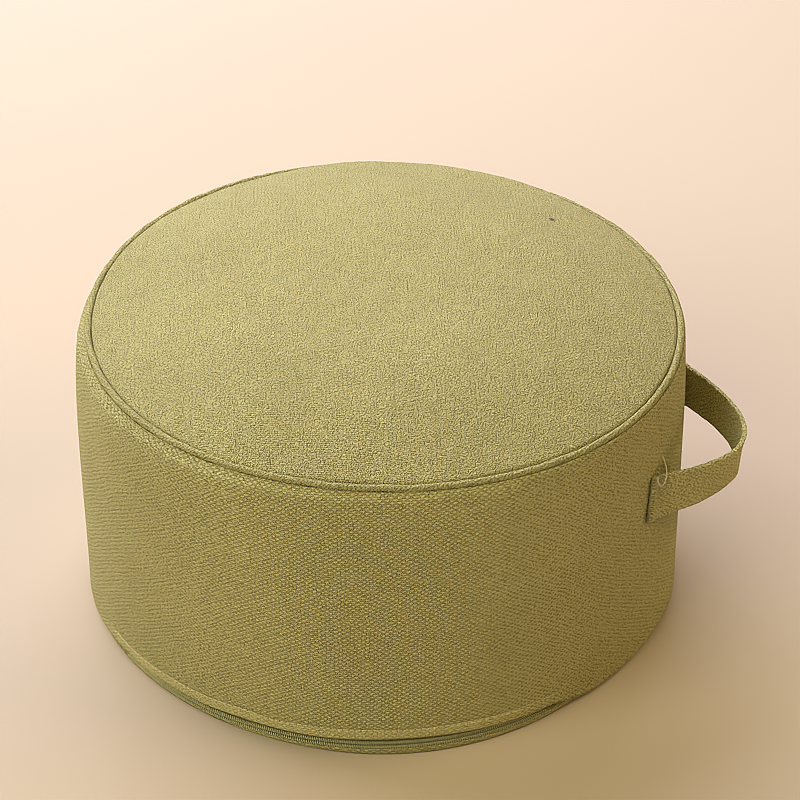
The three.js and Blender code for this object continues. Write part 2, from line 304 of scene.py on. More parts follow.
class Graph:
    """One material's nodes."""

    def __init__(self, name):
        self.material = bpy.data.materials.new(name)
        self.material.use_nodes = True
        self.tree = self.material.node_tree
        self.tree.nodes.clear()
        self.out = self.tree.nodes.new("ShaderNodeOutputMaterial")
        self.shader = self.tree.nodes.new("ShaderNodeBsdfPrincipled")
        self.tree.links.new(self.shader.outputs[0], self.out.inputs["Surface"])

    def put(self, socket, value):
        if isinstance(value, Number):
            self.tree.links.new(value.socket, socket)
        elif hasattr(value, "is_linked"):
            self.tree.links.new(value, socket)
        else:
            socket.default_value = value

    def fn(self, op, *args):
        n = self.tree.nodes.new("ShaderNodeMath")
        n.operation = op
        for i, a in enumerate(args):
            self.put(n.inputs[i], a)
        return Number(self, n.outputs[0])

    def vector(self, x, y, z=0.0):
        n = self.tree.nodes.new("ShaderNodeCombineXYZ")
        for s, v in zip(n.inputs, (x, y, z)):
            self.put(s, v)
        return n.outputs[0]

    def split(self, socket):
        n = self.tree.nodes.new("ShaderNodeSeparateXYZ")
        self.tree.links.new(socket, n.inputs[0])
        return [Number(self, s) for s in n.outputs]

    def uv(self):
        n = self.tree.nodes.new("ShaderNodeUVMap")
        n.uv_map = "weave"
        return n.outputs[0]

    def place(self):
        """The point in the object's own frame, in metres."""
        return self.tree.nodes.new("ShaderNodeTexCoord").outputs["Object"]

    def noise(self, vector, scale=1.0, detail=0.0, rough=0.5, dims="2D"):
        n = self.tree.nodes.new("ShaderNodeTexNoise")
        n.noise_dimensions = dims
        self.put(n.inputs["Vector"], vector)
        n.inputs["Scale"].default_value = scale
        n.inputs["Detail"].default_value = detail
        n.inputs["Roughness"].default_value = rough
        return Number(self, n.outputs[0])

    def random(self, x, y=0.0):
        n = self.tree.nodes.new("ShaderNodeTexWhiteNoise")
        n.noise_dimensions = "2D"
        self.put(n.inputs["Vector"], self.vector(x, y))
        return Number(self, n.outputs["Value"])

    def ramp(self, value, low, high, to_low=0.0, to_high=1.0, kind="SMOOTHSTEP"):
        n = self.tree.nodes.new("ShaderNodeMapRange")
        n.interpolation_type = kind
        for s, v in zip(n.inputs, (value, low, high, to_low, to_high)):
            self.put(s, v)
        return Number(self, n.outputs[0])

    def blend(self, share, a, b, kind="MIX"):
        n = self.tree.nodes.new("ShaderNodeMix")
        n.data_type = "RGBA"
        n.blend_type = kind
        n.clamp_factor = True
        self.put(n.inputs[0], share)
        for s, v in ((n.inputs[6], a), (n.inputs[7], b)):
            self.put(s, (*v, 1.0) if isinstance(v, tuple) and len(v) == 3 else v)
        return n.outputs[2]

    def scaled(self, color, factor):
        n = self.tree.nodes.new("ShaderNodeVectorMath")
        n.operation = "SCALE"
        self.put(n.inputs[0], color)
        self.put(n.inputs["Scale"], factor)
        return n.outputs[0]

    def bump(self, height, distance, strength=1.0, under=None):
        n = self.tree.nodes.new("ShaderNodeBump")
        n.inputs["Strength"].default_value = strength
        n.inputs["Distance"].default_value = distance
        self.put(n.inputs["Height"], height)
        if under is not None:
            self.tree.links.new(under, n.inputs["Normal"])
        return n.outputs[0]

    def finish(self, color, normal, roughness, **constants):
        self.put(self.shader.inputs["Base Color"], color)
        self.put(self.shader.inputs["Roughness"], roughness)
        if normal is not None:
            self.tree.links.new(normal, self.shader.inputs["Normal"])
        for k, v in constants.items():
            self.shader.inputs[k.replace("_", " ")].default_value = v
        return self.material


# the yarns' own colours, linear, and the colour of the shade painted into the pits between the yarns
YARN_LIGHT = (0.600, 0.552, 0.262)
YARN_DARK = (0.450, 0.410, 0.172)
YARN_PAINTED_SHADE = (0.190, 0.158, 0.036)


def woven(name, shade=1.0, depth=0.66, pit_shade_strength=1.0, patches_and_painted_shade=(), seed=0.0, sheen=0.12, proud=0.25, slant=0.32, grain=1.0,
          rise_u=0.45, rise_v=0.85, fine=(3.6, 2.2), dark=0.62, turning=False, hem=False):
    """Coarse plain weave: paired warps across U and thicker wefts across V, one cell to one unit."""
    g = Graph(name)
    u, v, _ = g.split(g.uv())
    place = g.place()

    # the yarns wander, and are pushed about by their neighbours
    drift = g.noise(g.vector(u * 0.10 + seed, v * 0.10), 1.0, 1.0) - 0.5
    sag = g.noise(g.vector(u * 0.05, v * 0.10 + 31.0 + seed), 1.0, 1.0) - 0.5
    shove_u = g.noise(g.vector(u * 0.8 + 7.0, v * 0.8 + seed), 1.0, 0.0) - 0.5
    shove_v = g.noise(g.vector(u * 0.8 + 53.0, v * 0.8 + seed), 1.0, 0.0) - 0.5
    uu = u + drift * 1.6 + shove_u * 0.5
    vv = v + sag * 1.1 + shove_v * 0.42
    iu, iv = g.fn("FLOOR", uu), g.fn("FLOOR", vv)
    fu, fv = uu - iu - 0.5, vv - iv - 0.5
    pu = 1.0 - 2.0 * g.fn("FLOORED_MODULO", iu, 2.0)
    pv = 1.0 - 2.0 * g.fn("FLOORED_MODULO", iv, 2.0)

    # each float has its own girth, lift and tone
    girth = g.random(iu + 0.37, iv + seed)
    tone = g.random(iu + 11.61, iv + 3.0 + seed)
    wide_u = 0.90 + 0.22 * girth
    wide_v = 0.86 + 0.36 * girth

    # over and under: a rounded yarn on a centre line that rises and dips; the wefts stand proud
    rib = 0.75
    fleck = g.noise(g.vector(u * fine[0] + 3.0, v * fine[1] + seed), 1.0, 0.5) - 0.5
    if turning:     # the side band is pulled askew over the zip only
        left, right = g.ramp(u, 180.0, 240.0, 1.0, 0.0), g.ramp(u, 262.0, 325.0, 0.0, 1.0)
        slant = slant - (left + right) * slant
        coarse = g.noise(g.vector(u * 1.7 + 17.0, v * 2.0 + seed), 1.0, 0.5) - 0.5
        fleck = fleck + left * (coarse * 3.3 - fleck) + right * (coarse * 2.9 - fleck)
        rise_u = rise_u - right * (rise_u * 0.34)
        rise_v = rise_v - right * (rise_v * 0.38)
    tu = 2.0 * fu / wide_u
    tv = 2.0 * (fv - fu * slant) / wide_v
    across_u = g.fn("SQRT", g.fn("MAXIMUM", 1.0 - tu * tu, 0.0))
    across_v = g.fn("SQRT", g.fn("MAXIMUM", 1.0 - tv * tv, 0.0))
    split_pair = g.fn("MAXIMUM", 1.0 - g.fn("ABSOLUTE", fu) * 7.0, 0.0)
    warp = pu * rise_u * g.fn("SINE", vv * math.pi) + across_u * rise_u - 0.30 * split_pair - 0.6 * proud
    weft = proud - pv * rise_v * g.fn("SINE", uu * math.pi) + across_v * wide_v * rib
    height = g.fn("MAXIMUM", warp, weft) + 0.25 * (girth - 0.5) + fleck * grain * 0.9
    lift = g.ramp(height, -0.1, 1.6, 0.0, 1.0, "LINEAR")
    pressed = None
    if hem:         # the doubled hem over the zip is pressed flatter
        # the pressed band gets weaker painted pit shade, lower bumps, and a colour drawn 10% lighter
        pressed = (g.ramp(v, -0.3, 0.5, 0.0, 1.0) * g.ramp(v, 4.8, 5.6, 1.0, 0.0)
                   * g.ramp(u, 150.0, 175.0, 0.0, 1.0) * g.ramp(u, 268.0, 302.0, 1.0, 0.0))
        lift = lift + (1.0 - lift) * pressed * 0.22
    over = g.ramp(weft - warp, -0.15, 0.45, 0.0, 1.0)

    # colour: lighter wefts, a tone for each float, and painted shade down in the pits between the yarns
    patch = g.noise(place, 14.0, 2.0, 0.5, "3D")
    mix = tone * 0.4 + over * 0.5 + fleck * grain * 1.2 + 0.05
    color = g.blend(mix, YARN_DARK, YARN_LIGHT)
    # painted shade: the weave's low places are mixed toward the dark pit colour, standing in for the shade that falls
    # in the pits between the yarns
    painted_pit_shade = g.ramp(lift, 0.10, 0.62, 1.0, 0.0) * pit_shade_strength
    color = g.blend(painted_pit_shade * dark, color, YARN_PAINTED_SHADE)
    color = g.scaled(color, g.ramp(patch, 0.3, 0.7, 0.96 * shade, 1.04 * shade, "LINEAR"))
    # patches of a given colour, dark unless a tint is given; on the wall they are painted shadow in the crevice behind
    # the strap's near end
    for (x, y, z), size, strength, *tint in patches_and_painted_shade:
        px, py, pz = g.split(place)
        wobble = g.noise(place, 900.0, 1.0, 0.6, "3D")
        dx, dy, dz = (px - x) / size[0], (py - y) / size[1], (pz - z) / (size[2] if len(size) > 2 else 0.01)
        far = g.fn("SQRT", dx * dx + dy * dy + dz * dz) + (wobble - 0.5) * 0.9
        color = g.blend(g.ramp(far, 0.35, 1.15, strength, 0.0), color, tint[0] if tint else (0.045, 0.026, 0.016))

    if pressed is not None:
        color = g.scaled(color, 1.0 + pressed * 0.10)
        height = height * (1.0 - pressed * 0.25)
    fibre = g.noise(g.vector(u * 5.0, v * 5.0), 1.0, 2.0, 0.7)
    normal = g.bump(height + fibre * 0.22, depth * 0.001)
    return g.finish(
        color, normal, g.ramp(lift, 0.2, 1.0, 0.98, 0.86),
        Specular_IOR_Level=0.22, Sheen_Weight=sheen, Sheen_Roughness=0.42,
        Sheen_Tint=(0.86, 0.84, 0.55, 1.0),
    )


def taped(name):
    """Close-woven zip tape: a fine herringbone."""
    g = Graph(name)
    u, v, _ = g.split(g.uv())
    zig = g.fn("PINGPONG", v, 2.2)
    rib = g.fn("SINE", (u + zig) * (2 * math.pi / 0.62))
    thread = g.fn("SINE", v * (2 * math.pi / 0.42))
    dust = g.noise(g.vector(u * 0.8, v * 0.8), 1.0, 2.0, 0.6)
    color = g.blend(g.ramp(rib * 0.5 + dust, 0.1, 1.0, 0.0, 1.0), (0.135, 0.165, 0.040), (0.250, 0.290, 0.088))
    normal = g.bump(rib * 0.6 + thread * 0.4, 0.00014)
    return g.finish(color, normal, 0.82, Specular_IOR_Level=0.25, Sheen_Weight=0.15, Sheen_Roughness=0.4)


def nylon(name):
    """Dyed nylon monofilament, a little see-through and scuffed."""
    g = Graph(name)
    place = g.place()
    dust = g.noise(place, 600.0, 2.0, 0.6, "3D")
    color = g.blend(g.ramp(dust, 0.3, 0.7), (0.480, 0.470, 0.250), (0.710, 0.695, 0.420))
    return g.finish(color, g.bump(dust, 0.00008), g.ramp(dust, 0.3, 0.7, 0.34, 0.5),
                    Specular_IOR_Level=0.45, Subsurface_Weight=0.12, Subsurface_Radius=(0.002, 0.002, 0.001))


def spun(name, light, dark):
    """Sewing thread: two plies twisted round each other."""
    g = Graph(name)
    u, v, _ = g.split(g.uv())
    twist = g.fn("SINE", (u / 0.9 + v * 2.0) * (2 * math.pi))
    fuzz = g.noise(g.vector(u * 4.0, v * 6.0), 1.0, 2.0, 0.7)
    color = g.blend(g.ramp(twist * 0.35 + fuzz, 0.1, 0.95), dark, light)
    return g.finish(color, g.bump(twist + fuzz * 0.5, 0.00008), 0.72,
                    Specular_IOR_Level=0.35, Sheen_Weight=0.3, Sheen_Roughness=0.35)


# ------------------------------------------------------------------ cushion
COLUMNS = 560
# wall coordinates join at the back, where the side band's two ends are sewn
START = math.pi / 2


# how far the filling puffs the crown up at the back, where it rolls over the cord
ROLL = 4.2


def far_side(az):
    return smooth((46 - np.abs(np.degrees(az) - 79)) / 32)


def catmull(points, steps):
    """A smooth row of sections through given ones; points are (radius, height) arrays."""
    out = []
    for i in range(len(points) - 1):
        p0 = points[max(i - 1, 0)]
        p1, p2 = points[i], points[i + 1]
        p3 = points[min(i + 2, len(points) - 1)]
        for k in range(steps):
            t = k / steps
            out.append(tuple(
                0.5 * (2 * b + (c - a) * t + (2 * a - 5 * b + 4 * c - d) * t**2 + (3 * b - a - 3 * c + d) * t**3)
                for a, b, c, d in zip(p0, p1, p2, p3)))
    out.append(points[-1])
    return out


def cushion():
    az = START + np.arange(COLUMNS) * 2 * math.pi / COLUMNS
    az = np.where(az > math.pi, az - 2 * math.pi, az)
    one = np.ones_like(az)
    foot, seam, rise = foot_radius(az), seam_radius(az), seam_height(az)
    coil, lip, is_open = coil_height(az), lip_height(az), zip_open(az)
    edge = foot - BASE_EDGE
    rows, kinds = [], []

    def add(radius, height, kind):
        rows.append((radius * one, height * one))
        kinds.append(kind)

    # base panel, flat on the floor, then hanging clear of it out to its own folded edge
    for r in (26, 52, 78, 102, 124, 143, 158, 170, 178, BASE_FLAT):
        add(r, 0.0, 0)
    top = coil - 2.9
    under = np.minimum(clearance(az), np.maximum(top - 0.45, 0.3))
    round_off = np.minimum(0.9, (top - under) * 0.5)
    add(187.0, under * 0.45, 0)
    add(190.3, under * 0.85, 0)
    add((190.3 + edge) / 2, under, 0)
    for a in (20, 45, 68, 90):
        a = math.radians(a)
        add(edge - round_off * (1 - math.sin(a)), under + round_off * (1 - math.cos(a)), 0)
    front = wall_radius(az, FOOT_HEIGHT + 1) - 0.8
    fold = [
        (edge + 0.15, (under + round_off + top) / 2, 0), (edge + 0.12, top - 0.4, 0),
        (edge - 0.35, top, 0), (edge - 1.1, top - 0.05, 0),
        # the slit's back, then the underside of the hem
        (edge - ZIP_DEPTH, top - 0.1, 1), (edge - ZIP_DEPTH, (top + lip - 0.8) / 2, 1), (edge - ZIP_DEPTH, lip - 0.72, 1),
        (front - 1.3, lip - 0.74, 1), (front - 0.5, lip - 0.70, 1), (front + 0.05, lip - 0.35, 1), (front + 0.42, lip + 0.25, 1),
    ]
    # past the zip's ends the wall runs smoothly down to the base panel's edge
    z0, z1 = under + round_off, lip + 1.0
    crease = 0.5 * smooth((6.0 - lip) / 2.0)
    for i, (r, z, kind) in enumerate(fold):
        t = (i + 1) / (len(fold) + 1)
        closed_z = z0 + (z1 - z0) * t
        closed_r = edge + (wall_radius(az, z1) - edge) * smooth(t * 0.8 + 0.2 * t) - crease * math.exp(-((t - 0.4) / 0.12) ** 2)
        add(closed_r + (r - closed_r) * is_open, closed_z + (z - closed_z) * is_open, kind)
    # wall, with a soft channel where the topstitch pulls the doubled cloth in
    low, high = lip + 1.0, rise - 5.2
    sewn = stitch_height(az)
    ups = [low + (sewn - 1.3 - low) * t for t in (0, 0.14, 0.3, 0.48, 0.66, 0.84)]
    ups += [sewn + d for d in (-1.3, -0.8, -0.4, 0.0, 0.4, 0.8, 1.5, 2.9, 5.2, 8.0)]
    for z in ups:
        channel = -0.62 * np.exp(-((z - sewn) / 0.75) ** 2)
        hem = 0.40 * smooth((z - lip) / 2) * smooth((sewn + 0.6 - z) / 2.0)
        add(wall_radius(az, z) + (channel + hem) * is_open, z, 1)
    start = ups[-1]
    for t in np.linspace(0, 1, 49)[1:]:
        z = start + (high - start) * (1 - (1 - t) ** 1.22)
        add(wall_radius(az, z), z, 1)
    # shoulder, down behind the cord, and up again into the crown's edge
    roll = far_side(az)
    cord = rise - 0.5 * roll
    shoulder = [
        (wall_radius(az, high), high),
        (seam + 3.35, cord - 2.1), (seam + 2.4, cord - 1.0), (seam + 1.75, cord - 1.65),
        (seam - 0.5, cord - 2.5), (seam - 2.0, cord - 1.5), (seam - 2.4, cord - 0.1),
        (seam - 2.45, cord + 1.05 + 1.0 * roll), (seam - 2.85, rise + 2.2 + 1.6 * roll),
    ]
    bends = catmull(shoulder, 3)[1:]
    for i, (r, z) in enumerate(bends):
        add(r, z, 1 if i < 12 else 2)
    # crown
    outer = seam - 3.9
    for t in np.linspace(0, 1, 50)[:-1]:
        inset = 0.004 + 0.996 * t ** 1.5
        r = outer * (1 - inset)
        fade = 1 - r / outer
        level = SEAM_HEIGHT + (rise - SEAM_HEIGHT) * (1 - smooth(fade * 1.6))
        puff = ROLL * roll * (1 - np.exp((r - seam) / 4)) * np.exp(-((seam - r) / 28) ** 2)
        add(r, level + 2.6 + (CROWN_RISE - 2.6) * (1 - (r / outer) ** CROWN_POWER) + puff, 2)

    R = np.array([r for r, _ in rows])
    Z = np.array([z for _, z in rows])
    kinds = np.array(kinds)
    n = len(rows)

    # length of cloth from the foot, and from the crown's middle
    step = np.hypot(np.diff(R, axis=0), np.diff(Z, axis=0))
    up = np.vstack([np.zeros(COLUMNS), np.cumsum(step, axis=0)])
    wall_rows = np.where(kinds == 1)[0]
    hem_row = int(wall_rows[7])
    crown_in = (up[-1] + R[-1]) - up

    X, Y = R * np.cos(az), R * np.sin(az)

    # soft dents: the filling is uneven, and the cloth is drawn up at the seams
    crown = (kinds == 2)[:, None]
    inner = smooth((crown_in.max() - crown_in) / 14.0)
    dents = 0.55 * plane_noise(3, X, Y, 45, 150) + 0.16 * plane_noise(4, X, Y, 16, 34)
    Z = Z + np.where(crown, dents * inner, 0)
    below = rise - Z
    pucker = round_noise(5, az, 90, 190) * np.exp(-((below - 9.0) / 5.5) ** 2) * 0.30
    soft = (0.45 * round_noise(6, az, 7, 16) * np.sin(math.pi * np.clip(Z / 200, 0, 1))
            + 0.35 * round_noise(7, az + 0.002 * Z, 14, 34) * np.clip(Z / 200, 0, 1) ** 2)
    body = smooth((Z - lip - 8) / 20) * smooth((rise - 3 - Z) / 5)
    push = (soft * body + pucker) * (kinds == 1)[:, None] * smooth((rise - 3.2 - Z) / 2.0)
    R = R + push
    near = np.exp(-((np.hypot(X, Y) - (seam - 11)) / 5.0) ** 2)
    Z = Z + np.where(crown, 0.22 * round_noise(8, az, 80, 170) * near, 0)
    X, Y = R * np.cos(az), R * np.sin(az)

    points = np.stack([X, Y, Z], -1).reshape(-1, 3)
    first, last = len(points), len(points) + 1
    points = np.vstack([points, [0, 0, 0], [0, 0, float(Z[-1].mean()) + 0.05]])

    # cloth coordinates, in yarns: one column more, so that the join doesn't smear
    wide = np.concatenate([az, az[:1]])
    turn = np.arange(COLUMNS + 1) / COLUMNS
    around = 506 * turn
    wall_uv = np.stack([np.broadcast_to(around, (n, COLUMNS + 1)),
                        (lambda a: np.concatenate([a, a[:, :1]], 1))((up - up[hem_row]) / WEFT)], -1)

    def flat(radius, middle):
        rr = np.concatenate([radius, radius[:, :1]], 1)
        x, y = rr * np.cos(wide), rr * np.sin(wide)
        if middle == "crown":
            # the cloth lies a little askew
            x, y = x + 0.0, y + 0.0
            return np.stack([(x * math.cos(math.radians(2.55)) + y * math.sin(math.radians(2.55))) / 2.635,
                             (x * math.cos(math.radians(84.2)) + y * math.sin(math.radians(84.2))) / 1.49], -1)
        return np.stack([x / WARP, y / WEFT], -1)

    crown_uv = flat(crown_in * (R.max() / R.max()), "crown")
    base_uv = flat(up + 26.0, "base")

    faces, uvs, slots = [], [], []
    tables = {0: base_uv, 1: wall_uv, 2: crown_uv}
    for i in range(n - 1):
        kind = int(max(kinds[i], kinds[i + 1])) if kinds[i] != kinds[i + 1] else int(kinds[i])
        t = tables[kind]
        for k in range(COLUMNS):
            m = (k + 1) % COLUMNS
            faces.append((i * COLUMNS + k, i * COLUMNS + m, (i + 1) * COLUMNS + m, (i + 1) * COLUMNS + k))
            uvs += [t[i, k], t[i, k + 1], t[i + 1, k + 1], t[i + 1, k]]
        slots += [kind] * COLUMNS
    for k in range(COLUMNS):
        m = (k + 1) % COLUMNS
        faces.append((m, k, first))
        uvs += [base_uv[0, k + 1], base_uv[0, k], (0, 0)]
        top = (n - 1) * COLUMNS
        faces.append((top + k, top + m, last))
        uvs += [crown_uv[-1, k], crown_uv[-1, k + 1], (0, 0)]
        slots += [0, 2]
    order = {0: 2, 1: 1, 2: 0}
    return make_object("pouf_cover", points, faces, uvs, [order[s] for s in slots],
                       [cloth_crown, cloth_wall, cloth_base])


def piping():
    count, sides = 720, 16
    az = START + np.arange(count) * 2 * math.pi / count
    az = np.where(az > math.pi, az - 2 * math.pi, az)
    wob = 0.22 * round_noise(11, az, 20, 60) + 0.10 * round_noise(12, az, 90, 200)
    rise = 0.18 * round_noise(13, az, 20, 60) + 0.08 * round_noise(14, az, 90, 200)
    fat = 1 + 0.035 * round_noise(15, az, 80, 220)
    r, z = seam_radius(az) + wob, seam_height(az) + 0.1 + rise - 0.5 * far_side(az)
    turn = np.arange(sides) * 2 * math.pi / sides - math.pi / 2
    R = r[:, None] + CORD_RADIUS * fat[:, None] * np.cos(turn)
    Z = z[:, None] + CORD_RADIUS * fat[:, None] * np.sin(turn)
    points = np.stack([R * np.cos(az)[:, None], R * np.sin(az)[:, None], Z], -1).reshape(-1, 3)
    along = np.arange(count + 1) * (2 * math.pi * SEAM_RADIUS / count)
    girth = np.arange(sides + 1) * (2 * math.pi * CORD_RADIUS / sides)
    # cloth cut on the bias
    A, G = np.meshgrid(along, girth, indexing="ij")
    c = math.cos(math.radians(45))
    table = np.stack([(A + G) * c / WARP, (A - G) * c / WEFT], -1)
    faces, uvs = [], []
    for i in range(count):
        j = (i + 1) % count
        for k in range(sides):
            m = (k + 1) % sides
            faces.append((i * sides + k, j * sides + k, j * sides + m, i * sides + m))
            uvs += [table[i, k], table[i + 1, k], table[i + 1, k + 1], table[i, k + 1]]
    return make_object("crown_cord", points, faces, uvs, None, [cloth_cord_painted_shade])


# ------------------------------------------------------------------ zip
TAPE_INNER, TAPE_OUTER, TAPE_LEAN = 2.25, 1.35, 1.1


def zip_tape(name, low, high, lean=0.0):
    """A woven strip bent along the foot seam, its cut edges rounded."""
    steps = 240
    az = np.radians(np.linspace(ZIP_FROM + 0.6, ZIP_TO - 0.6, steps))
    edge = foot_radius(az) - BASE_EDGE
    lo, hi = low(az), high(az)
    section = []
    for depth, share in ((TAPE_OUTER, 0.0), (TAPE_OUTER - 0.05, 0.12), (TAPE_OUTER, 0.3), (TAPE_OUTER + 0.03, 0.5),
                         (TAPE_OUTER, 0.7), (TAPE_OUTER - 0.05, 0.88), (TAPE_OUTER, 1.0),
                         (TAPE_INNER, 1.0), (TAPE_INNER, 0.5), (TAPE_INNER, 0.0)):
        r = edge - depth + lean * smooth((share - 0.45) / 0.5)
        section.append(np.stack([r * np.cos(az), r * np.sin(az), lo + (hi - lo) * share], -1))
    P = np.stack(section, 1)
    count = P.shape[1]
    points = P.reshape(-1, 3)
    along = np.degrees(az) * 3.45
    tall = np.concatenate([[0], np.cumsum(np.linalg.norm(np.diff(P[steps // 2], axis=0), axis=1))])
    faces, uvs = [], []
    for i in range(steps - 1):
        for k in range(count):
            m = (k + 1) % count
            faces.append((i * count + k, (i + 1) * count + k, (i + 1) * count + m, i * count + m))
            a, b = tall[k], tall[m] if m else tall[k] + 0.9
            uvs += [(along[i], a), (along[i + 1], a), (along[i + 1], b), (along[i], b)]
    faces.append(tuple(range(count)))
    uvs += [(0, 0)] * count
    faces.append(tuple((steps - 1) * count + k for k in reversed(range(count))))
    uvs += [(0, 0)] * count
    return make_object(name, points, faces, uvs, None, [tape_cloth])


def zip_coil(name, side):
    """One row of the coil: a nylon filament wound in slanting turns along the slit."""
    pitch, per_turn = 1.5, 12
    first, last = math.radians(ZIP_FROM + 1.0), math.radians(ZIP_TO - 1.0)
    arc = (last - first) * FOOT_RADIUS
    turns = int(arc / pitch)
    t = np.arange(turns * per_turn + 1) / per_turn
    az = first + (last - first) * t / turns
    a = 2 * math.pi * (t + (0.0 if side > 0 else 0.25))
    # heads meet in the middle, legs lie back over the tape; the front legs all lean one way
    reach = 1.22 if side > 0 else 1.02
    off = side * (0.58 + reach - reach * np.cos(a))
    depth = 0.75 + side * 0.62 * np.sin(a)
    r = foot_radius(az) - BASE_EDGE - depth
    z = coil_height(az) + off
    path = np.stack([r * np.cos(az), r * np.sin(az), z], -1)
    out = np.array([math.cos(math.radians(-103)), math.sin(math.radians(-103)), 0.35])
    return make_object(name, *tube(path, 6, 0.36, up=out), None, [nylon_coil])


def stitch_row(centres, along, out, length, thick, rng, rise=0.34, slant=0.06):
    """Separate stitches: each dips into the cloth at both ends and bows up between."""
    parts = []
    for c, a, o in zip(centres, along, out):
        l = length * rng.uniform(0.9, 1.06)
        tilt = rng.uniform(-slant, slant)
        b = np.cross(o, a)
        a2 = a * math.cos(tilt) + b * math.sin(tilt)
        s = np.linspace(-0.5, 0.5, 7)
        bow = thick * (rise + 0.9 * (1 - (2 * s) ** 4) - 0.9)
        path = c + s[:, None] * l * a2 + bow[:, None] * o
        taper = thick * (0.62 + 0.38 * np.sqrt(np.maximum(1 - (2 * s) ** 4, 0)))
        parts.append(tube(path, 6, taper, up=o))
    return parts


def frames_along(points):
    ahead = np.gradient(points, axis=0)
    ahead /= np.linalg.norm(ahead, axis=1)[:, None]
    radial = points * [1, 1, 0]
    radial /= np.linalg.norm(radial, axis=1)[:, None]
    return ahead, radial


def hem_topstitch():
    rng = np.random.default_rng(21)
    pitch = 3.7
    first, last = math.radians(ZIP_FROM - 1), math.radians(ZIP_TO + 1)
    count = int((last - first) * FOOT_RADIUS / pitch)
    az = np.linspace(first, last, count) + rng.uniform(-0.0006, 0.0006, count)
    z = stitch_height(az) + 0.10 * round_noise(22, az, 20, 60)
    sunk = smooth((np.degrees(az) + 86.0) / 12.0)
    r = wall_radius(az, z) - 0.18 * zip_open(az) + 0.18 - 0.42 * sunk + 0.16 * round_noise(23, az, 30, 90)
    centres = np.stack([r * np.cos(az), r * np.sin(az), z], -1)
    ahead, radial = frames_along(centres)
    return make_object("hem_topstitch", *joined(stitch_row(centres, ahead, radial, 3.3, 0.42, rng)), None, [thread_pale])


# ------------------------------------------------------------------ strap
def strap_line(s):
    first, last = STRAP[0, 0], STRAP[-1, 0]
    deg = first + (last - first) * s
    az = np.radians(deg)
    z = column(STRAP, 2, deg)
    ends = np.maximum(np.maximum(1 - s / STRAP_END_LENGTH, 1 - (1 - s) / STRAP_END_LENGTH), 0)
    thick = STRAP_THICK + (STRAP_END_THICK - STRAP_THICK) * smooth(ends * 2)
    out = np.maximum(column(STRAP, 1, deg), 0)
    r = wall_radius(az, z) + STRAP_CLEAR + out + thick / 2
    return np.stack([r * np.cos(az), r * np.sin(az), z], -1), thick, np.radians(column(STRAP, 3, deg))


def strap_frame(s):
    point, thick, lean = strap_line(s)
    ahead = strap_line(np.minimum(s + 0.004, 1))[0] - strap_line(np.maximum(s - 0.004, 0))[0]
    ahead /= np.linalg.norm(ahead, axis=-1, keepdims=True)
    out = np.cross(ahead, [0, 0, 1.0])
    out /= np.linalg.norm(out, axis=-1, keepdims=True)
    up = np.cross(out, ahead)
    c, d = np.cos(lean)[..., None], np.sin(lean)[..., None]
    return point, thick, up * c + out * d, out * c - up * d


def strap_surface(s, across, depth):
    """A point of the strap: across from -1 to 1 over its width, depth from -1 inside to 1 outside."""
    point, thick, side, face = strap_frame(s)
    v = point + side * (STRAP_WIDTH / 2 * across)[..., None] + face * (thick / 2 * depth)[..., None]
    az, r = np.arctan2(v[..., 1], v[..., 0]), np.hypot(v[..., 0], v[..., 1])
    least = wall_radius(az, v[..., 2]) + STRAP_CLEAR * 0.6 + (depth + 1) / 2 * thick
    k = np.where(r < least, least / r, 1.0)
    v[..., 0] *= k
    v[..., 1] *= k
    return v


